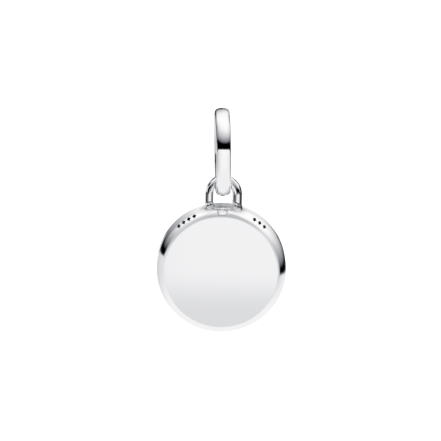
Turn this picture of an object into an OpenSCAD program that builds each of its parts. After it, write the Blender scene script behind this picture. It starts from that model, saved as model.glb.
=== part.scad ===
// Round polished pendant: a thick disc with a loop soldered on its edge, hanging from a plain ring bail.
// Millimetres. +Z is up, +X is to the right of the shown face, and the shown face looks towards -Y.
// The origin is the inside top of the bail, where a chain carries the pendant.

/* [Disc] */
// Diameter of the disc at its widest
disc_d = 13; // [11:0.1:16]
// Thickness of the disc from face to face
disc_t = 3.2; // [2.6:0.05:4]
// How far the flat shown face stops short of the widest edge, all round
face_inset = 0.85; // [0.7:0.01:1.05]
// How far back from the shown face its rounded edge runs
face_edge_depth = 1.36; // [1.1:0.02:1.6]
// Radius round the edge of the plain back face
back_edge_r = 0.4; // [0.2:0.05:0.6]

/* [Loop] */
// Thickness of the wire over the top of the loop
wire_d = 0.84; // [0.6:0.02:1]
// Thickness of each leg where it meets the disc
foot_d = 1; // [0.8:0.05:1.2]
// Clear space on each side of the bail inside the loop
side_gap = 0.26; // [0.12:0.01:0.35]
// Clear space between the bail and the disc's edge
rim_gap = 1.12; // [1:0.02:1.6]
// Radius of the solder round each foot
solder_r = 0.25; // [0.15:0.01:0.35]

/* [Bail] */
// Outside diameter of the bail
bail_d = 8.76; // [8:0.02:11]
// Width of the bail's band
bail_w = 1.42; // [1.2:0.02:2]
// Thickness of the band from its inside to the top of its crown
bail_t = 0.9; // [0.8:0.02:1.1]
// How far the crowned outside falls to the band's sides
crown_drop = 0.44; // [0.4:0.01:0.58]
// Radius where the crown meets the sides
crown_edge_r = 0.36; // [0.24:0.01:0.4]
// Radius along the band's inside edges
inner_edge_r = 0.3; // [0.15:0.01:0.32]
// Clear space left where the loop sits on the bail
seat_gap = 0.03; // [0.02:0.01:0.07]

/* [Hidden] */
$fn = 96;

SILVER = [0.86, 0.87, 0.89];

disc_r = disc_d / 2;
face_edge_r = arc_r(face_edge_depth, face_inset);
foot_r = foot_d / 2;
bail_outer_r = bail_d / 2;
bail_inner_r = bail_outer_r - bail_t;
loop_inner_r = bail_w / 2 + side_gap;
loop_mid_r = loop_inner_r + wire_d / 2;

// The bail's two inside edges rest in the arch, so its inside lies this far above the arch's centre.
corner_reach = loop_inner_r - inner_edge_r - seat_gap;
corner_side = bail_w / 2 - inner_edge_r;
seat_h = sqrt(corner_reach * corner_reach - corner_side * corner_side) + inner_edge_r;

// Heights of the bail's centre, the arch's centre and the disc's centre.
bail_z = -bail_inner_r;
arch_z = bail_z - bail_inner_r - seat_h;
disc_z = arch_z + seat_h - bail_t - rim_gap - disc_r;

// Each leg's centre line meets the disc's edge at this height, where the edge leans by foot_lean.
foot_z = disc_z + sqrt(disc_r * disc_r - loop_mid_r * loop_mid_r);
foot_lean = asin(loop_mid_r / disc_r);

// The solder starts this far under the edge, below the fall of the edge all round the foot.
solder_reach = foot_r + solder_r;
solder_overhang = max(0, solder_reach - disc_t / 2 + face_edge_depth);
solder_bed = arc_fall(disc_r, solder_reach) + arc_fall(face_edge_r, solder_overhang);

// Radius of an arc that starts level and falls by drop over run.
function arc_r(run, drop) = (run * run + drop * drop) / (2 * drop);

// How far an arc of radius r that starts level has fallen at a distance along it.
function arc_fall(r, along) = r - sqrt(r * r - along * along);

// Radius of the large arc of a two-arc corner.
function large_r(run, drop, small) =
    (pow(run - small, 2) + pow(drop, 2) - pow(small, 2)) / (2 * (drop - small));

// A crown over 2 * run, level at the origin and upright at both ends: a large arc between two small ones.
module two_arc_crown(run, drop, small) {
    large = large_r(run, drop, small);
    turn = atan2(run - small, large - drop);
    meet = [large * sin(turn), large * cos(turn) - large];
    for (side = [-1, 1]) translate([side * (run - small), -drop]) circle(small);
    polygon([[run - small, -drop], meet, [-meet[0], meet[1]], [small - run, -drop]]);
    intersection() {
        translate([0, -large]) circle(large);
        translate([-meet[0], meet[1]]) square([2 * meet[0], -meet[1]]);
    }
}

// The disc's section from its axis outwards, with the shown face along the bottom.
module disc_section() {
    wall_end = disc_t - back_edge_r;
    square([disc_r - face_inset, disc_t]);
    translate([0, face_edge_depth]) square([disc_r, wall_end - face_edge_depth]);
    translate([0, face_edge_depth]) square([disc_r - back_edge_r, disc_t - face_edge_depth]);
    translate([disc_r - back_edge_r, wall_end]) circle(back_edge_r);
    intersection() {
        square([disc_r, face_edge_depth]);
        translate([disc_r - face_edge_r, face_edge_depth]) circle(face_edge_r);
    }
}

module disc() {
    translate([0, -disc_t / 2, disc_z]) rotate([-90, 0, 0]) rotate_extrude() disc_section();
}

// Solder round a foot: a hollow fillet that starts below the disc's edge.
module solder() {
    translate([0, 0, -solder_bed]) rotate_extrude() difference() {
        translate([0, -foot_d]) square([solder_reach, foot_d + solder_r]);
        translate([solder_reach, solder_r]) circle(solder_r);
    }
}

// The right leg, from inside the disc up to the arch.
module leg() {
    translate([loop_mid_r, 0, foot_z]) {
        translate([0, 0, -foot_d]) cylinder(h = foot_d, d = foot_d);
        cylinder(h = arch_z - foot_z, d1 = foot_d, d2 = wire_d);
        rotate([0, foot_lean, 0]) solder();
    }
}

module arch() {
    translate([0, 0, arch_z]) rotate([90, 0, 0])
        rotate_extrude(angle = 180) translate([loop_mid_r, 0]) circle(d = wire_d);
}

// The band's section, with the bail's axis along Y: crowned outside, with rounded inside edges.
module band_section() {
    intersection() {
        union() {
            translate([0, -bail_w / 2]) square([bail_outer_r - crown_drop, bail_w]);
            translate([bail_outer_r, 0]) rotate(-90) two_arc_crown(bail_w / 2, crown_drop, crown_edge_r);
        }
        union() {
            translate([bail_inner_r, -corner_side]) square([bail_t, 2 * corner_side]);
            translate([bail_inner_r + inner_edge_r, -bail_w / 2]) square([bail_t - inner_edge_r, bail_w]);
            for (side = [-1, 1]) translate([bail_inner_r + inner_edge_r, side * corner_side])
                circle(inner_edge_r);
        }
    }
}

module medallion() {
    color(SILVER) union() {
        disc();
        arch();
        leg();
        mirror([1, 0, 0]) leg();
    }
}

module bail() {
    color(SILVER) translate([0, 0, bail_z]) rotate([0, 90, 0]) rotate_extrude() band_section();
}

medallion();
bail();
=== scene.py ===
"""Round polished silver pendant: a thick disc with a soldered loop, hanging from a crowned ring bail.

The file is laid out as a Blender add-on and is run as a script. Every piece is then built in that same
frame: metres, +Z up, the shown face towards -Y, the origin at the inside top of the bail. The disc and the
loop stand together for one solid, and the bail for the other. Each piece rides on its solid's body.
"""

import math

import bmesh
import bpy
import numpy as np
from mathutils import Matrix, Vector
from mathutils.kdtree import KDTree


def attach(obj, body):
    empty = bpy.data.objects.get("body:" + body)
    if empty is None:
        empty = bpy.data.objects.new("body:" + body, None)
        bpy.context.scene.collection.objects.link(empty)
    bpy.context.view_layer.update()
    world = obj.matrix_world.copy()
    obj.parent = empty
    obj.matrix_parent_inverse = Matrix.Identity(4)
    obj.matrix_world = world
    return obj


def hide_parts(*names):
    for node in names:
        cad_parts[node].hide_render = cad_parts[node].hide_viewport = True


bl_info = {
    "name": "Disc Pendant",
    "version": (1, 0, 0),
    "blender": (4, 5, 0),
    "location": "3D View > Sidebar > Pendant",
    "description": "Builds a round silver pendant with a soldered loop and a ring bail",
    "category": "Add Mesh",
}

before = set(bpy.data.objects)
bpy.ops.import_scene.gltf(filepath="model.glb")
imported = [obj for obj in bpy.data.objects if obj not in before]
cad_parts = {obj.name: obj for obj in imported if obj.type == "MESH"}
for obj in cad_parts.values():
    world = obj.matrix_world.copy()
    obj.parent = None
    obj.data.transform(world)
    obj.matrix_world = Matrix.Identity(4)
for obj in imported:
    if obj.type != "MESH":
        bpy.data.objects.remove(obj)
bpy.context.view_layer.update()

MM = 0.001
CREVICE = "crevice"  # the vertex attribute that says how close the solder's line is
CREVICE_REACH = 0.42 * MM
MERGE_DISTANCE = 0.0004 * MM
SMOOTH_BELOW, SMOOTH_BELOW_PUNCHED = 60, 24  # degrees between faces up to which an edge is shaded smooth
HOLD = 0.04 * MM  # how close a holding ring lies to the rounded edge beside it


# Sizes and colours


def length(name, text, mm):
    """A size of the pendant, given here in millimetres and kept in metres."""
    return bpy.props.FloatProperty(
        name=name, description=text, default=mm * MM, soft_min=0, unit="LENGTH", precision=5
    )


def angle(name, text, degrees):
    """An angle, given here in degrees and kept in radians."""
    return bpy.props.FloatProperty(
        name=name, description=text, default=math.radians(degrees), subtype="ANGLE", unit="ROTATION"
    )


def share(name, text, value, high=1.0):
    """A share or a strength without a unit."""
    return bpy.props.FloatProperty(
        name=name, description=text, default=value, min=0, max=high, subtype="FACTOR"
    )


def colour(name, text, value):
    """A linear colour."""
    return bpy.props.FloatVectorProperty(
        name=name, description=text, default=value, size=3, min=0, max=1, subtype="COLOR"
    )


def count(name, text, value):
    """A number of copies or of segments."""
    return bpy.props.IntProperty(name=name, description=text, default=value, min=1)


class PendantDisc(bpy.types.PropertyGroup):
    """Sizes of the disc."""

    diameter: length("Diameter", "Disc at its widest", 13.0)
    thickness: length("Thickness", "Disc from face to face", 3.2)
    face_inset: length("Face inset", "How far the flat face stops short of the widest edge", 0.85)
    face_edge_depth: length("Face edge depth", "How far back the rounded front edge runs", 1.36)
    crease_radius: length("Crease radius", "Radius where the face breaks into the rounded edge", 0.03)
    back_edge_radius: length("Back edge radius", "Radius round the plain back face", 0.4)
    segments: count("Segments", "Steps round the disc", 288)


class PendantLoop(bpy.types.PropertyGroup):
    """Sizes of the loop and its solder."""

    wire_d: length("Wire", "Thickness of the wire over the top", 0.84)
    foot_d: length("Foot", "Thickness of each leg where it meets the disc", 0.96)
    side_gap: length("Side gap", "Clear space on each side of the bail inside the loop", 0.235)
    rim_gap: length("Rim gap", "Clear space between the bail and the disc's edge", 1.12)
    solder_side: length("Solder at the sides", "Radius of the solder beside each foot", 0.16)
    solder_front: length("Solder in front", "Radius of the solder in front of each foot", 0.4)
    solder_back: length("Solder behind", "Radius of the solder behind each foot", 0.3)
    arch_rise: length("Arch rise", "How much thicker the wire is over the very top", 0.12)
    offset: length("Offset", "How far both legs stand to the right of the middle", 0.05)
    right_swell: length("Right swell", "How much more radius the right leg has than the left", 0.065)
    segments: count("Segments", "Steps round the wire", 64)


class PendantBail(bpy.types.PropertyGroup):
    """Sizes of the ring bail."""

    diameter: length("Diameter", "Outside of the bail", 8.76)
    width: length("Width", "Width of the band", 1.47)
    thickness: length("Thickness", "Band from its inside to the top of its crown", 0.9)
    crown_drop: length("Crown drop", "How far the crown falls to the band's sides", 0.44)
    crown_edge_radius: length("Crown edge radius", "Radius where the crown meets the sides", 0.36)
    inner_edge_radius: length("Inner edge radius", "Radius along the inside edges", 0.3)
    seat_gap: length("Seat gap", "Clear space left where the loop sits on the bail", 0.03)
    turn: angle("Turn", "How far the bail hangs turned round to the right of the loop", 1.25)
    lean: angle("Lean", "How far the bail's top leans to the left of the loop", 1.5)
    segments: count("Segments", "Steps round the bail", 256)


class PendantMarks(bpy.types.PropertyGroup):
    """Sizes of the two rows of punched lozenges on the rounded front edge."""

    left_count: count("Left row", "Lozenges left of the loop", 4)
    right_count: count("Right row", "Lozenges right of the loop", 3)
    left_middle: angle("Left row's middle", "Angle from the top to the middle of the left row", -34.7)
    right_middle: angle("Right row's middle", "Angle from the top to the middle of the right row", 36.3)
    pitch: angle("Pitch", "Angle from one lozenge to the next", 5.6)
    lean: angle("Lean", "How far the metal under the marks leans out from the face's own direction", 60.0)
    tall: length("Tall", "Lozenge across the edge", 0.6)
    wide: length("Wide", "Lozenge along the edge", 0.42)
    deep: length("Deep", "How deep a lozenge is punched", 0.09)


class PendantFinish(bpy.types.PropertyGroup):
    """Colours and polish of the silver."""

    silver: colour("Silver", "Colour of the polished metal", (0.955, 0.955, 0.96))
    oxide: colour("Oxide", "Colour of the darkened metal in the marks", (0.012, 0.012, 0.014))
    polish: share("Roughness", "Roughness of the polished metal at its brightest", 0.025)
    haze: share("Haze", "How much rougher the polishing haze and wipe marks make it", 0.02)
    seam_haze: share("Seam haze", "How much duller the soldered feet are than the polished faces", 0.5)
    seam_tarnish: share("Seam tarnish", "How dark the metal stays in the corner along the solder", 0.25)


class PendantStage(bpy.types.PropertyGroup):
    """The camera and the floor."""

    azimuth: angle("Azimuth", "How far the camera stands round to the right", -0.8)
    elevation: angle("Elevation", "How far the camera looks down", 15.0)
    roll: angle("Roll", "How far the camera leans", 1.2)
    distance: length("Distance", "From the camera to the point it looks at", 244.2)
    target_x: length("Target X", "Sideways place of the point that the camera looks at", -0.16)
    target_z: length("Target height", "Height of the point that the camera looks at", -10.5)
    lens: bpy.props.FloatProperty(
        name="Lens", description="Focal length in millimetres", default=200.0, min=1.0
    )
    floor_z: length("Floor height", "Height of the floor under the pendant", -150.0)


GROUPS = {
    "pendant_disc": PendantDisc,
    "pendant_loop": PendantLoop,
    "pendant_bail": PendantBail,
    "pendant_marks": PendantMarks,
    "pendant_finish": PendantFinish,
    "pendant_stage": PendantStage,
}


class Layout:
    """Where the bail, the loop's arch and the disc hang, worked out from the sizes."""

    def __init__(self, scene):
        disc, loop, bail = scene.pendant_disc, scene.pendant_loop, scene.pendant_bail
        inner_r = bail.diameter / 2 - bail.thickness
        loop_inner_r = bail.width / 2 + loop.side_gap
        reach = loop_inner_r - bail.inner_edge_radius - bail.seat_gap
        side = bail.width / 2 - bail.inner_edge_radius
        seat = math.sqrt(reach * reach - side * side) + bail.inner_edge_radius
        self.disc_r = disc.diameter / 2
        self.loop_mid_r = loop_inner_r + loop.wire_d / 2
        self.bail_z = -inner_r
        self.arch_z = -2 * inner_r - seat
        self.disc_z = self.arch_z + seat - bail.thickness - loop.rim_gap - self.disc_r


# Node arithmetic and trees


def feed(tree, place, value):
    """Puts a value on a socket: another node's socket by a wire, anything else as its setting."""
    if isinstance(value, Term):
        value = value.socket
    if isinstance(value, bpy.types.NodeSocket):
        tree.links.new(value, place)
    else:
        place.default_value = value


def add_node(tree, kind, *values, settings=None, **named):
    """Adds a node with its settings, then feeds its inputs by order and by name."""
    node = tree.nodes.new(kind)
    for name, value in (settings or {}).items():
        setattr(node, name, value)
    for place, value in zip(node.inputs, values):
        if value is not None:
            feed(tree, place, value)
    for name, value in named.items():
        feed(tree, node.inputs[name.replace("_", " ")], value)
    return node


class Term:
    """A number in a node tree, so that sizes are worked out in ordinary arithmetic."""

    def __init__(self, tree, socket):
        self.tree, self.socket = tree, socket

    def made(self, operation, *values):
        """The result of a Math node."""
        node = add_node(self.tree, "ShaderNodeMath", *values, settings={"operation": operation})
        return Term(self.tree, node.outputs[0])

    def __add__(self, other):
        return self.made("ADD", self, other)

    def __radd__(self, other):
        return self.made("ADD", other, self)

    def __sub__(self, other):
        return self.made("SUBTRACT", self, other)

    def __rsub__(self, other):
        return self.made("SUBTRACT", other, self)

    def __mul__(self, other):
        return self.made("MULTIPLY", self, other)

    def __rmul__(self, other):
        return self.made("MULTIPLY", other, self)

    def __truediv__(self, other):
        return self.made("DIVIDE", self, other)

    def __neg__(self):
        return self.made("MULTIPLY", self, -1.0)

    def sine(self):
        return self.made("SINE", self)

    def cosine(self):
        return self.made("COSINE", self)

    def root(self):
        return self.made("SQRT", self)

    def tangent(self):
        return self.made("TANGENT", self)

    def turn_to(self, other):
        """The angle whose tangent is this over other."""
        return self.made("ARCTAN2", self, other)


def vector_of(tree, x, y, z):
    """A vector socket from three numbers."""
    return add_node(tree, "ShaderNodeCombineXYZ", x, y, z).outputs[0]


def new_tree(name, numbers, counts):
    """A geometry tree with named inputs, a Material input and a Geometry output; gives its inputs by name."""
    tree = bpy.data.node_groups.new(name, "GeometryNodeTree")
    tree.is_modifier = True
    kinds = dict.fromkeys(numbers, "NodeSocketFloat") | dict.fromkeys(counts, "NodeSocketInt")
    kinds["Material"] = "NodeSocketMaterial"
    for title, kind in kinds.items():
        tree.interface.new_socket(title, in_out="INPUT", socket_type=kind)
    tree.interface.new_socket("Geometry", in_out="OUTPUT", socket_type="NodeSocketGeometry")
    given = {out.name: out for out in tree.nodes.new("NodeGroupInput").outputs if out.name in kinds}
    given.update({title: Term(tree, given[title]) for title in numbers})
    return tree, given, tree.nodes.new("NodeGroupOutput").inputs[0]


def pick(tree, data_type, index, values):
    """An Index Switch over a list of values."""
    node = tree.nodes.new("GeometryNodeIndexSwitch")
    node.data_type = data_type
    while len(node.index_switch_items) < len(values):
        node.index_switch_items.new()
    feed(tree, node.inputs[0], index)
    for place, value in zip(list(node.inputs)[1:], values):
        feed(tree, place, value)
    return node.outputs[0]


def rounded_section(tree, corners, closed):
    """A section line through corners, each (distance from the axis, place along it, radius, steps)."""
    line = add_node(tree, "GeometryNodeCurvePrimitiveLine")
    points = add_node(
        tree, "GeometryNodeResampleCurve", line.outputs[0], settings={"mode": "COUNT"}, Count=len(corners)
    )
    index = tree.nodes.new("GeometryNodeInputIndex").outputs[0]
    places = [vector_of(tree, r, along, 0.0) for r, along, _, _ in corners]
    spread = pick(tree, "VECTOR", index, places)
    curve = add_node(tree, "GeometryNodeSetPosition", points.outputs[0], Position=spread).outputs[0]
    if closed:
        curve = add_node(tree, "GeometryNodeSetSplineCyclic", curve, Cyclic=True).outputs[0]
    rounded = add_node(
        tree,
        "GeometryNodeFilletCurve",
        curve,
        settings={"mode": "POLY"},
        Count=pick(tree, "INT", index, [steps for _, _, _, steps in corners]),
        Radius=pick(tree, "FLOAT", index, [r for _, _, r, _ in corners]),
    )
    return rounded.outputs[0]


def integer(tree, operation, a, b):
    """The result of an Integer Math node."""
    return add_node(tree, "FunctionNodeIntegerMath", a, b, settings={"operation": operation}).outputs[0]


def turned(tree, section, segments, closed, place):
    """Turns a section about an axis, where place gives a vertex from its radius, angle and place along."""
    measured = add_node(tree, "GeometryNodeAttributeDomainSize", section, settings={"component": "CURVE"})
    points = measured.outputs["Point Count"]
    rows = integer(tree, "ADD", points, 1) if closed else points
    columns = integer(tree, "ADD", segments, 1)
    grid = add_node(tree, "GeometryNodeMeshGrid", Vertices_X=columns, Vertices_Y=rows)
    index = tree.nodes.new("GeometryNodeInputIndex").outputs[0]
    step = integer(tree, "DIVIDE", index, rows)
    row = integer(tree, "MODULO", integer(tree, "MODULO", index, rows), points)
    sample = add_node(
        tree,
        "GeometryNodeSampleIndex",
        section,
        settings={"data_type": "FLOAT_VECTOR", "domain": "POINT"},
        Value=tree.nodes.new("GeometryNodeInputPosition").outputs[0],
        Index=row,
    )
    parts = add_node(tree, "ShaderNodeSeparateXYZ", sample.outputs[0])
    r, along, _ = (Term(tree, out) for out in parts.outputs)
    turn = Term(tree, step) * math.tau / Term(tree, segments)
    put = add_node(tree, "GeometryNodeSetPosition", grid.outputs[0], Position=place(r, turn, along))
    merged = add_node(tree, "GeometryNodeMergeByDistance", put.outputs[0], Distance=MERGE_DISTANCE)
    return add_node(tree, "GeometryNodeSetShadeSmooth", merged.outputs[0]).outputs[0]


def closed_tree(tree, geometry, material, output):
    """Ends a tree in Realize Instances and Set Material, and gives it back."""
    real = add_node(tree, "GeometryNodeRealizeInstances", geometry)
    dressed = add_node(tree, "GeometryNodeSetMaterial", real.outputs[0], Material=material)
    feed(tree, output, dressed.outputs[0])
    return tree


def two_arc_corners(run, drop, small):
    """A rounded edge of a large and a small arc, level where it starts and upright at (run, -drop).

    Gives the large arc's radius and how far each arc's corner lies from its end of the edge.
    """
    large = ((run - small) * (run - small) + drop * drop - small * small) / (2.0 * (drop - small))
    turn = (run - small).turn_to(large - drop)
    return large, large * (turn / 2.0).tangent(), small * ((math.pi / 2 - turn) / 2.0).tangent()


def disc_tree():
    """The disc, turned about the Y axis from the middle of the shown face round to the back."""
    tree, size, output = new_tree(
        "Turned disc",
        ("Radius", "Thickness", "Face inset", "Face edge depth", "Crease radius", "Back edge radius",
         "Centre height"),
        ("Segments",),
    )
    radius, thickness = size["Radius"], size["Thickness"]
    edge_depth, inset = size["Face edge depth"], size["Face inset"]
    crease, back_r = size["Crease radius"], size["Back edge radius"]
    edge_r = (edge_depth * edge_depth + inset * inset) / (inset * 2.0)
    reach, rise = edge_r - crease, edge_depth - crease
    flat = (reach * reach - rise * rise).root()
    turn = rise.turn_to(flat)
    face_r = radius - edge_r + flat
    crease_out = crease * ((math.pi / 2 - turn) / 2.0).tangent()
    edge_out = edge_r * (turn / 2.0).tangent()
    front, back = -thickness / 2.0, thickness / 2.0
    widest = front + edge_depth
    wall_start, wall_end = widest + HOLD, back - back_r - HOLD
    crease_steps, edge_steps, back_steps, wall_rings = 10, 34, 18, 10
    corners = [(face_r * part, front, 0.0, 1) for part in (0.0, 0.15, 0.4, 0.65, 0.85, 0.95)]
    corners += [
        (face_r - HOLD, front, 0.0, 1),
        (face_r + crease_out, front, crease, crease_steps),
        (radius, widest - edge_out, edge_r, edge_steps),
    ]
    wall = [wall_start + (wall_end - wall_start) * (k / (wall_rings - 1)) for k in range(wall_rings)]
    corners += [(radius, along, 0.0, 1) for along in wall]
    corners += [(radius, back, back_r, back_steps), (radius - back_r - HOLD, back, 0.0, 1)]
    corners += [(radius * part, back, 0.0, 1) for part in (0.9, 0.75, 0.5, 0.2, 0.0)]

    def place(r, turn, along):
        return vector_of(tree, r * turn.sine(), along, size["Centre height"] + r * turn.cosine())

    section = rounded_section(tree, corners, closed=False)
    solid = turned(tree, section, size["Segments"], False, place)
    return closed_tree(tree, solid, size["Material"], output)


def bail_tree():
    """The ring bail, a crowned band turned about the X axis."""
    tree, size, output = new_tree(
        "Turned bail",
        ("Outer radius", "Width", "Thickness", "Crown drop", "Crown edge radius", "Inner edge radius",
         "Centre height"),
        ("Segments",),
    )
    outer, half = size["Outer radius"], size["Width"] / 2.0
    inner, edge = outer - size["Thickness"], size["Inner edge radius"]
    crown_edge = size["Crown edge radius"]
    large, large_out, small_out = two_arc_corners(half, size["Crown drop"], crown_edge)
    side_end = outer - size["Crown drop"]
    inner_steps, crown_edge_steps, crown_steps = 14, 18, 12
    corners = [
        (inner, edge + HOLD - half, 0.0, 1),
        (inner, -half, edge, inner_steps),
        (side_end + small_out, -half, crown_edge, crown_edge_steps),
        (outer, -large_out, large, crown_steps),
        (outer, large_out, large, crown_steps),
        (side_end + small_out, half, crown_edge, crown_edge_steps),
        (inner, half, edge, inner_steps),
        (inner, half - edge - HOLD, 0.0, 1),
        (inner, 0.0, 0.0, 1),
    ]

    def place(r, turn, along):
        return vector_of(tree, along, r * turn.sine(), size["Centre height"] + r * turn.cosine())

    section = rounded_section(tree, corners, closed=True)
    solid = turned(tree, section, size["Segments"], True, place)
    return closed_tree(tree, solid, size["Material"], output)


def turned_by(tree, x, y, z):
    """A rotation socket from turns about the three axes, in radians."""
    return add_node(tree, "FunctionNodeEulerToRotation", vector_of(tree, x, y, z)).outputs[0]


def marks_tree():
    """Punches for one row of lozenges, laid round the disc's axis at an even pitch."""
    tree, size, output = new_tree(
        "Row of punches",
        ("Middle", "Pitch", "Lean", "Radius", "Place along", "Tall", "Wide", "Deep", "Centre height"),
        ("Count",),
    )
    deep = size["Deep"]
    # A punch stands as far out of the metal as it goes in, and its two radii are shares of the lozenge.
    punch = add_node(
        tree,
        "GeometryNodeMeshCone",
        Vertices=4,
        Side_Segments=1,
        Fill_Segments=1,
        Radius_Top=0.72,
        Radius_Bottom=0.36,
        Depth=deep * 2.0,
    )
    shaped = add_node(
        tree,
        "GeometryNodeTransform",
        punch.outputs[0],
        Translation=vector_of(tree, 0.0, 0.0, -deep),
        Scale=vector_of(tree, size["Wide"], size["Tall"], 1.0),
    )
    tilted = add_node(
        tree,
        "GeometryNodeTransform",
        shaped.outputs[0],
        Rotation=turned_by(tree, math.pi / 2 - size["Lean"], 0.0, 0.0),
        Translation=vector_of(tree, 0.0, size["Place along"], size["Radius"]),
    )
    points = add_node(
        tree, "GeometryNodePoints", size["Count"], vector_of(tree, 0.0, 0.0, size["Centre height"])
    )
    index = Term(tree, tree.nodes.new("GeometryNodeInputIndex").outputs[0])
    turn = size["Middle"] + size["Pitch"] * (index - (Term(tree, size["Count"]) - 1.0) / 2.0)
    row = add_node(
        tree,
        "GeometryNodeInstanceOnPoints",
        points.outputs[0],
        Instance=tilted.outputs[0],
        Rotation=turned_by(tree, 0.0, turn, 0.0),
    )
    return closed_tree(tree, row.outputs[0], size["Material"], output)


# Mesh steps


def new_object(name, mesh):
    """A mesh object in the scene, at the origin."""
    made = bpy.data.objects.new(name, mesh)
    bpy.context.scene.collection.objects.link(made)
    return made


def baked(obj, name):
    """The object's evaluated shape as a plain mesh."""
    graph = bpy.context.evaluated_depsgraph_get()
    graph.update()
    mesh = bpy.data.meshes.new_from_object(obj.evaluated_get(graph), depsgraph=graph)
    mesh.name = name
    return mesh


def from_tree(name, tree, sizes, **others):
    """A plain mesh object from a tree, whose inputs take the sizes, or the others, of the same names."""
    obj = new_object(name, bpy.data.meshes.new(name + "_start"))
    modifier = obj.modifiers.new("Shape", "NODES")
    modifier.node_group = tree
    for item in tree.interface.items_tree:
        if item.in_out == "INPUT":
            field = item.name.lower().replace(" ", "_")
            modifier[item.identifier] = others[field] if field in others else getattr(sizes, field)
    mesh = baked(obj, name)
    obj.modifiers.clear()
    obj.data = mesh
    if not mesh.polygons:
        raise RuntimeError(f"{name} came out of its tree with no faces")
    return obj


def punch_out(base, tool):
    """Cuts the tool's solid out of the base, and removes the tool."""
    modifier = base.modifiers.new("Punches", "BOOLEAN")
    modifier.object, modifier.operation = tool, "DIFFERENCE"
    modifier.solver, modifier.material_mode = "EXACT", "TRANSFER"
    mesh = baked(base, base.data.name)
    base.modifiers.clear()
    base.data = mesh
    bpy.data.objects.remove(tool)


def tidy_mesh(obj, sharp_degrees):
    """Merges doubles, splits large polygons, turns faces outwards, and shades smooth but for creases."""
    work = bmesh.new()
    work.from_mesh(obj.data)
    bmesh.ops.remove_doubles(work, verts=work.verts, dist=MERGE_DISTANCE)
    bmesh.ops.dissolve_degenerate(work, edges=work.edges, dist=MERGE_DISTANCE)
    bmesh.ops.triangulate(work, faces=[face for face in work.faces if len(face.verts) > 4])
    bmesh.ops.recalc_face_normals(work, faces=work.faces)
    for face in work.faces:
        face.smooth = True
    open_edges = [edge for edge in work.edges if len(edge.link_faces) != 2]
    volume = work.calc_volume(signed=True)
    work.to_mesh(obj.data)
    work.free()
    obj.data.set_sharp_from_angle(angle=math.radians(sharp_degrees))
    if open_edges or volume <= 0:
        raise RuntimeError(f"{obj.name} isn't a closed solid: {len(open_edges)} open edges")


# The loop and its solder


def edge_radius(disc):
    """The radius of the rounded front edge, which is upright at the disc's widest."""
    return (disc.face_edge_depth**2 + disc.face_inset**2) / (2 * disc.face_inset)


def disc_outline(disc, steps=240):
    """The disc's section in metres as (distance from the axis, Y), from the shown face round to the back."""
    r, half = disc.diameter / 2, disc.thickness / 2
    run, large, small = disc.face_edge_depth, edge_radius(disc), disc.crease_radius
    flat = math.sqrt((large - small) ** 2 - (run - small) ** 2)
    turn = math.atan2(run - small, flat)
    up = np.linspace(0, math.pi / 2 - turn, steps)
    out = np.linspace(turn, 0, steps)
    round_back = np.linspace(0, math.pi / 2, steps)
    small_arc = np.c_[r - large + flat + small * np.sin(up), small - half - small * np.cos(up)]
    large_arc = np.c_[r - large + large * np.cos(out), run - half - large * np.sin(out)]
    back = disc.back_edge_radius
    back_arc = np.c_[r - back + back * np.cos(round_back), half - back + back * np.sin(round_back)]
    return np.vstack([[[0, -half]], small_arc, large_arc, back_arc, [[0, half]]])


def nearest_on(line, points):
    """The nearest place to each point on a line of straight steps, all in the section's plane."""
    start, step = line[:-1], np.diff(line, axis=0)
    squared = np.maximum((step**2).sum(1), 1e-18)  # never 0, also for a step of no length
    along = ((points[:, None] - start) * step).sum(2) / squared
    found = start + step * np.clip(along, 0, 1)[..., None]
    gap = ((points[:, None] - found) ** 2).sum(2)
    return found[np.arange(len(points)), gap.argmin(1)]


def solder_skirt(scene, layout, side, turns):
    """Rings of the solder round one foot, from inside the disc up to the leg.

    A ball rolled round the foot touches both leg and disc, and each ring point lies on its arc. The ball
    starts well above the disc and sinks until it touches. It dips a hair under the disc's surface, so that
    the two meshes meet in a clean line.
    """
    loop, line = scene.pendant_loop, disc_outline(scene.pendant_disc)
    dip, bury, start_above, rounds, steps = 0.003 * MM, 0.16 * MM, 2 * MM, 60, 14
    foot_x = side * layout.loop_mid_r + loop.offset
    foot_r = loop.foot_d / 2 + (loop.right_swell if side > 0 else 0)
    out = np.c_[side * np.cos(turns), np.sin(turns), np.zeros_like(turns)]
    front, behind = np.clip(-np.sin(turns), 0, 1) ** 2, np.clip(np.sin(turns), 0, 1) ** 2
    ball = loop.solder_side + (loop.solder_front - loop.solder_side) * front
    ball += (loop.solder_back - loop.solder_side) * behind
    centre = out * (foot_r + ball)[:, None] + [foot_x, 0, layout.disc_z + layout.disc_r + start_above]
    for _ in range(rounds):
        rise = centre[:, 2] - layout.disc_z
        axis_gap = np.hypot(centre[:, 0], rise)
        flat = np.c_[axis_gap, centre[:, 1]]
        touch = nearest_on(line, flat)
        centre[:, 2] -= np.linalg.norm(flat - touch, axis=1) - (ball - dip)
    away = np.c_[centre[:, 0], rise] / axis_gap[:, None]
    on_disc = np.c_[away[:, 0] * touch[:, 0], touch[:, 1], layout.disc_z + away[:, 1] * touch[:, 0]]
    down = on_disc - centre
    down /= np.linalg.norm(down, axis=1)[:, None]
    turn = np.arccos(np.clip((-out * down).sum(1), -1, 1))
    rings = [on_disc + down * bury]
    for part in np.linspace(1, 0, steps):
        mix = np.sin((1 - part) * turn)[:, None] * -out + np.sin(part * turn)[:, None] * down
        rings.append(centre + ball[:, None] * mix / np.sin(turn)[:, None])
    return rings


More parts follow.
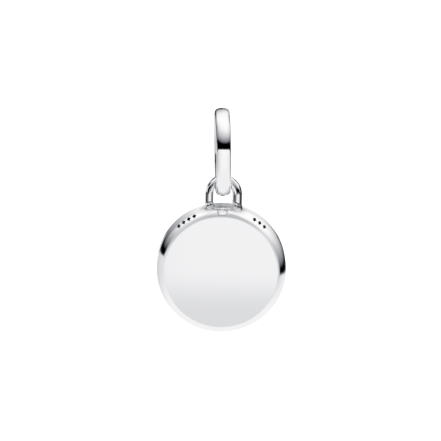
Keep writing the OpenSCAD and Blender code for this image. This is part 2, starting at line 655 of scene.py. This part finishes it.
def loop_object(scene, layout, material):
    """The loop as one closed mesh, from one foot over the arch to the other."""
    loop = scene.pendant_loop
    turns = np.linspace(0, math.tau, loop.segments, endpoint=False)
    wire_r, foot_r, mid = loop.wire_d / 2, loop.foot_d / 2, layout.loop_mid_r
    leg_steps, arch_steps = 20, 72
    flare = 0.3  # the share of a leg over which its foot thins out to the wire
    swell_hold = 6  # how steeply the right leg's swell dies away, so that it is gone where the bail sits
    bury = 0.9 * MM

    def leg(side, skirt_top):
        """Rings from the solder up to the arch: a short flare above the foot, then even wire."""
        rings, swell = [], loop.right_swell if side > 0 else 0
        for part in np.linspace(0, 1, leg_steps + 1)[1:-1]:
            thin = min(part / flare, 1)
            r = swell + foot_r + (wire_r - foot_r) * thin * thin * (3 - 2 * thin)
            x = loop.offset + side * (mid + r * np.cos(turns))
            z = skirt_top[:, 2] + (layout.arch_z - skirt_top[:, 2]) * part
            rings.append(np.c_[x, r * np.sin(turns), z])
        return rings

    feet = {side: solder_skirt(scene, layout, side, turns) for side in (1, -1)}
    rings = feet[1] + leg(1, feet[1][-1])
    for a in np.linspace(0, math.pi, arch_steps + 1):
        thick = wire_r + loop.right_swell * ((1 + math.cos(a)) / 2) ** swell_hold
        r = mid + thick * np.cos(turns)
        r += loop.arch_rise * math.sin(a) ** 2 * (1 + np.cos(turns)) / 2
        x = r * math.cos(a) + loop.offset * math.cos(a) ** 2
        rings.append(np.c_[x, thick * np.sin(turns), layout.arch_z + r * math.sin(a)])
    rings += (feet[-1] + leg(-1, feet[-1][-1]))[::-1]
    points = np.vstack(rings)
    n, last = len(turns), len(points)
    faces = [
        (k * n + i, k * n + (i + 1) % n, (k + 1) * n + (i + 1) % n, (k + 1) * n + i)
        for k in range(len(rings) - 1)
        for i in range(n)
    ]
    faces += [(i, (i + 1) % n, last) for i in range(n)]
    faces += [(last - n + i, last - n + (i + 1) % n, last + 1) for i in range(n)]
    buried = layout.disc_z + layout.disc_r - bury
    points = np.vstack([points, [[mid, 0, buried], [-mid, 0, buried]]])
    mesh = bpy.data.meshes.new("loop_silver")
    mesh.from_pydata(points.tolist(), [], faces)
    mesh.materials.append(material)
    made = new_object("loop_silver", mesh)
    tidy_mesh(made, SMOOTH_BELOW)
    return made


def solder_line(scene, layout):
    """Points along the line where the solder round both feet runs out on the disc."""
    turns = np.linspace(0, math.tau, scene.pendant_loop.segments, endpoint=False)
    return np.vstack([solder_skirt(scene, layout, side, turns)[1] for side in (1, -1)])


def mark_crevices(obj, seam):
    """Stores on each vertex how close it lies to the seam, from 0 far off to 1 on it."""
    tree = KDTree(len(seam))
    for i, place in enumerate(seam):
        tree.insert(place, i)
    tree.balance()
    near = [math.exp(-((tree.find(v.co)[2] / CREVICE_REACH) ** 2)) for v in obj.data.vertices]
    obj.data.attributes.new(CREVICE, "FLOAT", "POINT").data.foreach_set("value", near)


# Studio light


# How the light comes back above a dark band: degrees above it, share of the full light.
RETURN = (
    (0, 0), (3, 0.29), (5, 0.41), (7, 0.49), (9, 0.55), (13, 0.64), (17, 0.72), (23, 0.8), (29, 0.87),
    (36, 0.93), (45, 0.975), (60, 1),
)

# Three soft light tents, each as a grey by the direction that a reflection looks in. Every line gives a value
# at a few turns to the right of the front, in degrees: the grey below the dark band, the band's lower and
# upper edges, how soft the lower edge is, how dark the band is, and how fast the light comes back above it.
# The loop's tent has no band. "nadir" is the grey straight below. A sheet is a card hung in the tent: its
# turns, its heights, how soft its sides, foot and top are, and its grey. One straight behind the pendant is
# given twice, from either side, and a later sheet hangs in front of an earlier one.
BAIL_LIGHT = {
    "below": ((-180, 0.8), (-150, 0.865), (-110, 0.775), (-75, 0.76), (-45, 0.855), (0, 0.96), (45, 0.93),
              (75, 0.75), (95, 0.58), (112, 0.63), (140, 0.87), (180, 0.885)),
    "nadir": 0.935,
    "edge": ((-180, -17), (-162, -12), (-140, -2), (-122, 0), (-117, -6), (-105, 7), (-80, 3), (-65, 7),
             (-50, 13.4), (-25, 18.1), (4, 20.2), (38, 17.9), (64, 11.6), (90, 3.6), (115, -5.7),
             (180, -5.7)),
    "top": ((-180, 9), (-162, 5), (-140, 7.6), (-110, 16.5), (-80, 27), (-50, 31), (0, 33.9), (35, 31.4),
            (55, 28), (75, 21.3), (100, 14.7), (180, 14.7)),
    "soft": ((-180, 4), (60, 5), (100, 14), (180, 23)),
    "dark": ((-180, 0.9), (-170, 0.75), (-145, 0.5), (-127, 0.45), (-118, 0.96), (-80, 0.97), (0, 0.995),
             (75, 0.995), (110, 0.28), (140, 0.21), (180, 0.5)),
    "quick": ((-180, 0.93), (0, 0.98), (60, 1.12), (120, 0.9), (180, 1.26)),
    "sheets": (
        ((-112, -79), (19, 29), (4, 3, 3), 0.72),
        ((126, 150), (8, 38), (8, 7, 7), 0.6),
    ),
}
DISC_LIGHT = {
    "below": ((-180, 0.85), (-155, 0.985), (-130, 0.815), (-100, 0.853), (-60, 0.89), (-25, 0.94), (22, 0.93),
              (42, 0.8), (66, 0.842), (90, 0.88), (130, 0.917), (180, 0.875)),
    "nadir": 0.95,
    "edge": ((-180, -10.7), (-150, -6.5), (-130, -1.7), (-100, 0.8), (-78, 0.9), (-62, 6), (-40, 27.7),
             (0, 44.3), (40, 27.4), (54, 24.9), (68, -15.4), (76, -16.7), (120, -16.2), (180, -15.1)),
    "top": ((-180, -19.6), (-150, 0.1), (-130, 4.3), (-100, 7.1), (-78, 5.8), (-62, 44.5), (-40, 61.5),
            (0, 56.1), (40, 66.4), (54, 28.7), (68, -12.7), (76, -12.4), (120, -8.1), (150, -4.6),
            (180, -20.7)),
    "soft": ((-180, 15), (-100, 3.7), (-78, 6.4), (-60, 24), (60, 24), (72, 10), (90, 4.8), (180, 5.2)),
    "dark": ((-180, 0), (-155, 0.79), (-140, 0.87), (-85, 0.985), (-72, 0.33), (-60, 0.2), (0, 0.3),
             (56, 0.215), (68, 0.37), (78, 1), (145, 0.73), (180, 0.3)),
    "quick": ((-180, 3.9), (-150, 0.83), (-100, 1.2), (-60, 0.4), (60, 0.4), (75, 1.14), (130, 1.33),
              (155, 4.1), (180, 4.5)),
    "sheets": (
        ((174, 181), (12.6, 46), (1.5, 0.6, 5), 0.38),
        ((-181, -174), (12.6, 46), (1.5, 0.6, 5), 0.38),
        ((174, 181), (12, 19), (3, 0.4, 4), 0.7),
        ((-181, -174), (12, 19), (3, 0.4, 4), 0.7),
        ((-9, 9), (-24, -12), (1, 0.4, 1), 0.944),
        ((-9, -0.3), (-24, -12), (0.4, 0.4, 1), 0.93),
        ((-9, 9), (-24, -16.75), (1, 0.4, 0.45), 0.853),
    ),
}
LOOP_LIGHT = {
    "below": ((-180, 0.86), (-145, 0.8), (-115, 0.97), (-90, 0.84), (0, 0.96), (30, 0.91), (50, 0.97),
              (180, 0.5)),
    "nadir": 0.5,
    "sheets": (
        ((-39, 60), (2.3, 60), (15, 1.5, 2), 0.76),
        ((-55, -19), (-14.8, 6.2), (10.7, 1, 1.5), 0.15),
        ((-106, -54), (11, 25), (9, 4, 5), 0.2),
        ((-112, -76), (24, 55), (6, 4, 8), 0.4),
        ((-29, 14), (-13.6, -4.3), (9, 1, 2.2), 0),
        ((13, 71), (-8.8, 6.4), (3, 4, 5), 0),
        ((45, 163), (-11.5, -5.9), (8.5, 1.5, 5), 0.2),
        ((84, 150), (-8.3, 15), (12, 1.5, 5.3), 0.2),
        ((-6, 16), (-35, -16), (14, 2, 1.2), 0.1),
        ((-179, -158), (17.2, 45.6), (11.3, 3, 8), 0.2),
        ((-104, -60), (-24, -9), (9, 2, 3), 0.14),
        ((64, 172), (-24, -9), (24, 2, 2), 0.2),
        ((-150, -104), (32, 62), (10, 6, 6), 0.42),
        ((110, 160), (16, 40), (10, 4, 6), 0.35),
    ),
}


# Between which heights, in degrees, a tent's lines give way to its grey straight below and straight above.
TO_NADIR, TO_ZENITH = (-15.0, -52.0), (0.0, 40.0)
ZENITH = 0.99
SCREEN_GAMMA = 2.2
TINT_POWERS = (1.0, 0.985, 0.94)  # red, green and blue as powers of the grey, so that darker light is bluer
TENT_STRENGTH = 1.047


def by_line(tree, value, points):
    """The height of a line of (value, height) points, level beyond its ends, as a Float Curve."""
    first, last = points[0][0], points[-1][0]
    heights = [y for _, y in points]
    low, rise = min(heights), max(max(heights) - min(heights), 1e-6)
    placed = [((x - first) / (last - first), (y - low) / rise) for x, y in points]
    node = tree.nodes.new("ShaderNodeFloatCurve")
    node.mapping.extend = "HORIZONTAL"
    line = node.mapping.curves[0]
    line.points[0].location, line.points[1].location = placed[0], placed[-1]
    for place in placed[1:-1]:
        line.points.new(*place)
    for point in line.points:
        point.handle_type = "AUTO_CLAMPED"
    node.mapping.update()
    feed(tree, node.inputs["Value"], (value - first) / (last - first))
    return Term(tree, node.outputs[0]) * rise + low


def risen(tree, value, start, end):
    """0 up to start, 1 from end on, and a smooth rise between them."""
    node = add_node(
        tree, "ShaderNodeMapRange", value, start, end, settings={"interpolation_type": "SMOOTHSTEP"}
    )
    return Term(tree, node.outputs[0])


def on_sheet(tree, turn, height, sheet):
    """How much of a direction a sheet covers: 1 in its middle, and a smooth fall at its edges."""
    (left, right), (low, high), (side_soft, low_soft, high_soft), _ = sheet
    across = risen(tree, turn, left - side_soft, left + side_soft)
    across = across * (1.0 - risen(tree, turn, right - side_soft, right + side_soft))
    up = risen(tree, height, low - low_soft, low + low_soft)
    return across * up * (1.0 - risen(tree, height, high - high_soft, high + high_soft))


def tent_grey(tree, turn, height, light):
    """The grey of a light tent, from 0 to 1 as it shows, at a turn and a height in degrees."""
    grey = by_line(tree, turn, light["below"])
    grey = grey + risen(tree, -height, -TO_NADIR[0], -TO_NADIR[1]) * (light["nadir"] - grey)
    grey = grey + risen(tree, height, *TO_ZENITH) * (ZENITH - grey)
    if "edge" in light:
        edge, soft = by_line(tree, turn, light["edge"]), by_line(tree, turn, light["soft"]) / 2.0
        under = 1.0 - risen(tree, height, edge - soft, edge + soft)
        above = (height - by_line(tree, turn, light["top"])) * by_line(tree, turn, light["quick"])
        lit = under.made("MAXIMUM", under, by_line(tree, above, RETURN))
        grey = grey * (1.0 - by_line(tree, turn, light["dark"]) * (1.0 - lit))
    for sheet in light["sheets"]:
        grey = grey + on_sheet(tree, turn, height, sheet) * (sheet[-1] - grey)
    return grey


def add_tent(name, light, piece, radius, clear):
    """A light tent round the whole pendant, which one piece alone reflects and the camera doesn't see."""
    mesh = bpy.data.meshes.new(name)
    ball = bmesh.new()
    bmesh.ops.create_uvsphere(ball, u_segments=64, v_segments=32, radius=radius)
    ball.to_mesh(mesh)
    ball.free()
    material = bpy.data.materials.new(name)
    material.use_nodes = True
    material.cycles.emission_sampling = "NONE"
    tree = material.node_tree
    tree.nodes.clear()
    spot = add_node(tree, "ShaderNodeSeparateXYZ", tree.nodes.new("ShaderNodeTexCoord").outputs["Object"])
    x, y, z = (Term(tree, out) for out in spot.outputs)
    turn = x.turn_to(-y) * math.degrees(1)
    height = z.turn_to((x * x + y * y).root()) * math.degrees(1)
    grey = tent_grey(tree, turn, height, light)
    red = grey.made("POWER", grey, SCREEN_GAMMA)
    tint = vector_of(tree, *(red.made("POWER", red, power) for power in TINT_POWERS))
    glow = add_node(tree, "ShaderNodeEmission", tint, TENT_STRENGTH).outputs[0]
    if clear:
        see_through = tree.nodes.new("ShaderNodeBsdfTransparent").outputs[0]
        glow = add_node(tree, "ShaderNodeAddShader", glow, see_through).outputs[0]
    feed(tree, tree.nodes.new("ShaderNodeOutputMaterial").inputs["Surface"], glow)
    mesh.materials.append(material)
    tent = new_object(name, mesh)
    tent.visible_camera = tent.visible_diffuse = tent.visible_shadow = False
    lit = bpy.data.collections.new(f"lit_by_{name}")
    lit.objects.link(bpy.data.objects[piece])
    tent.light_linking.receiver_collection = lit


# Materials


# Each pattern's lumps to the metre and its detail: broad polishing clouds, wear patches and fine pores.
CLOUDS, PATCHES, PORES = (650.0, 4.0), (2600.0, 3.0), (21000.0, 2.0)
# Wipe marks: the turn of their direction, marks to the metre across it, and the share that they cover.
WIPE_MARKS = (
    ((0.0, 0.6, 0.0), 16000.0, 0.34),
    ((0.0, -0.4, 0.3), 11000.0, 0.31),
    ((0.5, 1.4, 0.0), 11000.0, 0.31),
)
MARK_STRETCH, MARK_EDGE = 30.0, 0.06  # how much longer than wide a mark is, and how soft its edge


def noise(tree, vector, scale, detail):
    """A soft random pattern from 0 to 1, with about as many lumps to the metre as its scale."""
    node = add_node(tree, "ShaderNodeTexNoise", Vector=vector, Scale=scale, Detail=detail, Roughness=0.55)
    return Term(tree, node.outputs[0])


def hairlines(tree, vector, turn, scale, cover):
    """Fine straight wipe marks along one direction, 1 in a mark and 0 between the marks."""
    drawn = (scale, scale / MARK_STRETCH, scale)
    place = add_node(tree, "ShaderNodeMapping", vector, Rotation=turn, Scale=drawn, Location=turn)
    lines = noise(tree, place.outputs[0], 1.0, 1.0)
    return risen(tree, lines, 1.0 - cover, 1.0 - cover + MARK_EDGE)


def worn_silver():
    """The node group that both silvers share: polishing haze, wipe marks and tarnish kept in corners."""
    made = bpy.data.node_groups.get("worn_silver")
    if made:
        return made
    tree = bpy.data.node_groups.new("worn_silver", "ShaderNodeTree")
    shares = ("Polish", "Haze", "Tarnish")
    kinds = {"Vector": "Vector", "Silver": "Color", "Oxide": "Color"} | dict.fromkeys(shares, "Float")
    for title, kind in kinds.items():
        tree.interface.new_socket(title, in_out="INPUT", socket_type=f"NodeSocket{kind}")
    for title, kind in (("Base Color", "Color"), ("Roughness", "Float"), ("Height", "Float")):
        tree.interface.new_socket(title, in_out="OUTPUT", socket_type=f"NodeSocket{kind}")
    given = tree.nodes.new("NodeGroupInput").outputs
    sinks = tree.nodes.new("NodeGroupOutput").inputs
    polish, haze, tarnish = (Term(tree, given[title]) for title in shares)
    cloud, patch, pores = (noise(tree, given["Vector"], *lumps) for lumps in (CLOUDS, PATCHES, PORES))
    marks, *others = (hairlines(tree, given["Vector"], *kind) for kind in WIPE_MARKS)
    for other in others:
        marks = marks.made("MAXIMUM", marks, other)
    # Tarnish is held unevenly, in patches, and dulls the metal that it covers.
    held = tarnish * (0.55 + 0.9 * patch)
    held = held.made("MINIMUM", held, 1.0)
    tone = add_node(tree, "ShaderNodeMix", settings={"data_type": "RGBA"})
    for place, value in ((0, held), (6, given["Silver"]), (7, given["Oxide"])):
        feed(tree, tone.inputs[place], value)
    feed(tree, sinks["Base Color"], tone.outputs[2])
    feed(tree, sinks["Roughness"], polish + haze * (cloud * 0.7 + marks * 0.6 + patch * 0.3) + held * 0.3)
    feed(tree, sinks["Height"], pores * 0.5 + patch * 0.8 - marks * 0.7)
    return tree


def silver_material(name, finish, tarnish, polish, haze, relief):
    """A silver from the shared group. Its relief is the height of its grain in metres.

    Where no tarnish is given, the metal is duller and a little tarnished along the solder.
    """
    material = bpy.data.materials.new(name)
    material.use_nodes = True
    tree = material.node_tree
    shader = tree.nodes["Principled BSDF"]
    worn = tree.nodes.new("ShaderNodeGroup")
    worn.node_tree = worn_silver()
    if tarnish is None:
        corner = add_node(tree, "ShaderNodeAttribute", settings={"attribute_name": CREVICE})
        seam = Term(tree, corner.outputs["Fac"])
        tarnish, haze = seam * finish.seam_tarnish, haze + seam * finish.seam_haze
    values = {
        "Vector": tree.nodes.new("ShaderNodeTexCoord").outputs["Object"],
        "Silver": (*finish.silver, 1),
        "Oxide": (*finish.oxide, 1),
        "Polish": polish,
        "Haze": haze,
        "Tarnish": tarnish,
    }
    for title, value in values.items():
        feed(tree, worn.inputs[title], value)
    bump = add_node(tree, "ShaderNodeBump", Strength=1.0, Distance=relief, Height=worn.outputs["Height"])
    for title in ("Base Color", "Roughness"):
        feed(tree, shader.inputs[title], worn.outputs[title])
    feed(tree, shader.inputs["Metallic"], 1.0)
    feed(tree, shader.inputs["Normal"], bump.outputs[0])
    return material


def mirror_silver(finish):
    """Mirror-polished silver, duller along the solder."""
    return silver_material(
        "mirror_silver", finish, tarnish=None, polish=finish.polish, haze=finish.haze, relief=0.0001 * MM
    )


def darkened_silver(finish):
    """Darkened silver in the punched marks, rough and unevenly blackened."""
    return silver_material("darkened_silver", finish, tarnish=0.97, polish=0.35, haze=0.2, relief=0.004 * MM)


def finish_material(build, scene):
    """The material of the build function's name, built the first time it is asked for."""
    return bpy.data.materials.get(build.__name__) or build(scene.pendant_finish)


# Operators


class PENDANT_OT_disc(bpy.types.Operator):
    """Build the disc with its punched marks as one piece."""

    bl_idname = "pendant.disc"
    bl_label = "Build disc"

    def execute(self, context):
        scene, layout = context.scene, Layout(context.scene)
        disc, marks = scene.pendant_disc, scene.pendant_marks
        made = from_tree(
            "disc_silver",
            disc_tree(),
            disc,
            radius=layout.disc_r,
            centre_height=layout.disc_z,
            material=finish_material(mirror_silver, scene),
        )
        tidy_mesh(made, SMOOTH_BELOW)
        large, tree = edge_radius(disc), marks_tree()
        row = {
            "radius": layout.disc_r - large + large * math.sin(marks.lean),
            "place_along": disc.face_edge_depth - disc.thickness / 2 - large * math.cos(marks.lean),
            "centre_height": layout.disc_z,
            "material": finish_material(darkened_silver, scene),
        }
        left = (marks.left_count, marks.left_middle)
        right = (marks.right_count, marks.right_middle)
        for number, middle in (left, right):
            punch_out(made, from_tree("punches", tree, marks, count=number, middle=middle, **row))
        tidy_mesh(made, SMOOTH_BELOW_PUNCHED)
        mark_crevices(made, solder_line(scene, layout))
        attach(made, "medallion")
        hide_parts("medallion")
        return {"FINISHED"}


class PENDANT_OT_loop(bpy.types.Operator):
    """Build the wire loop and the solder round its feet, which run on into the disc."""

    bl_idname = "pendant.loop"
    bl_label = "Build loop"

    def execute(self, context):
        scene, layout = context.scene, Layout(context.scene)
        made = loop_object(scene, layout, finish_material(mirror_silver, scene))
        mark_crevices(made, solder_line(scene, layout))
        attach(made, "medallion")
        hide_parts("medallion")
        return {"FINISHED"}


class PENDANT_OT_bail(bpy.types.Operator):
    """Build the ring bail."""

    bl_idname = "pendant.bail"
    bl_label = "Build bail"

    def execute(self, context):
        scene, layout = context.scene, Layout(context.scene)
        bail = scene.pendant_bail
        made = from_tree(
            "bail_silver",
            bail_tree(),
            bail,
            outer_radius=bail.diameter / 2,
            centre_height=layout.bail_z,
            material=finish_material(mirror_silver, scene),
        )
        tidy_mesh(made, SMOOTH_BELOW)
        seat = Matrix.Translation((0, 0, 2 * layout.bail_z))
        hang = Matrix.Rotation(bail.turn, 4, "Z") @ Matrix.Rotation(-bail.lean, 4, "Y")
        made.data.transform(seat @ hang @ seat.inverted())
        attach(made, "bail")
        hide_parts("bail")
        return {"FINISHED"}


class PENDANT_OT_stage(bpy.types.Operator):
    """Set the floor, the studio light and the camera."""

    bl_idname = "pendant.stage"
    bl_label = "Set stage"

    def execute(self, context):
        scene, stage = context.scene, context.scene.pendant_stage
        add_floor(stage)
        add_light(scene)
        add_camera(scene, stage)
        return {"FINISHED"}


def add_floor(stage):
    """A plain pale floor well below the hanging pendant."""
    reach = 3.0
    corners = [(x * reach, y * reach, stage.floor_z) for x, y in ((-1, -1), (1, -1), (1, 1), (-1, 1))]
    mesh = bpy.data.meshes.new("floor")
    mesh.from_pydata(corners, [], [(0, 1, 2, 3)])
    floor = new_object("floor", mesh)
    floor.visible_glossy = False
    material = bpy.data.materials.new("pale_floor")
    material.use_nodes = True
    shader = material.node_tree.nodes["Principled BSDF"]
    pale, white = (0.9, 0.9, 0.9, 1), (1, 1, 1, 1)
    finish = {"Base Color": pale, "Roughness": 0.9, "Emission Color": white, "Emission Strength": 0.5}
    for title, value in finish.items():
        shader.inputs[title].default_value = value
    mesh.materials.append(material)


def add_light(scene):
    """Soft studio light: a white room for the floor, and a tent round each piece of the pendant."""
    add_tent("bail_tent", BAIL_LIGHT, "bail_silver", 10.0, clear=True)
    add_tent("loop_tent", LOOP_LIGHT, "loop_silver", 10.5, clear=True)
    add_tent("disc_tent", DISC_LIGHT, "disc_silver", 11.0, clear=False)
    world = bpy.data.worlds.new("studio")
    world.use_nodes = True
    scene.world = world
    world.node_tree.nodes["Background"].inputs["Color"].default_value = (1, 1, 1, 1)
    scene.view_settings.view_transform = "Standard"
    scene.view_settings.look = "None"


def add_camera(scene, stage):
    """The camera of the photograph."""
    data = bpy.data.cameras.new("camera")
    data.lens, data.sensor_width = stage.lens, 36.0
    data.clip_start, data.clip_end = 0.01, 20.0
    data.dof.use_dof = False
    camera = new_object("camera", data)
    a, e = stage.azimuth, stage.elevation
    back = Vector((math.sin(a) * math.cos(e), -math.cos(a) * math.cos(e), math.sin(e)))
    target = Vector((stage.target_x, 0, stage.target_z))
    turn = (-back).to_track_quat("-Z", "Y").to_matrix() @ Matrix.Rotation(stage.roll, 3, "Z")
    camera.matrix_world = Matrix.Translation(target + back * stage.distance) @ turn.to_4x4()
    scene.camera = camera


class PENDANT_PT_panel(bpy.types.Panel):
    """The pendant's sizes and steps."""

    bl_label = "Disc Pendant"
    bl_idname = "PENDANT_PT_panel"
    bl_space_type = "VIEW_3D"
    bl_region_type = "UI"
    bl_category = "Pendant"

    def draw(self, context):
        for operator in OPERATORS:
            self.layout.operator(operator.bl_idname)
        for name, group in GROUPS.items():
            box = self.layout.box()
            box.label(text=group.__doc__)
            for field in group.__annotations__:
                box.prop(getattr(context.scene, name), field)


OPERATORS = (PENDANT_OT_bail, PENDANT_OT_loop, PENDANT_OT_disc, PENDANT_OT_stage)
CLASSES = (*GROUPS.values(), *OPERATORS, PENDANT_PT_panel)


def register():
    """Registers the classes and gives the scene its settings."""
    for made in CLASSES:
        bpy.utils.register_class(made)
    for name, group in GROUPS.items():
        setattr(bpy.types.Scene, name, bpy.props.PointerProperty(type=group))


def unregister():
    """Takes the settings and the classes away again."""
    for name in GROUPS:
        delattr(bpy.types.Scene, name)
    for made in reversed(CLASSES):
        bpy.utils.unregister_class(made)


def main():
    """Builds the pendant and its stage."""
    register()
    bpy.ops.pendant.bail()
    bpy.ops.pendant.loop()
    bpy.ops.pendant.disc()
    bpy.ops.pendant.stage()


if __name__ == "__main__":
    main()
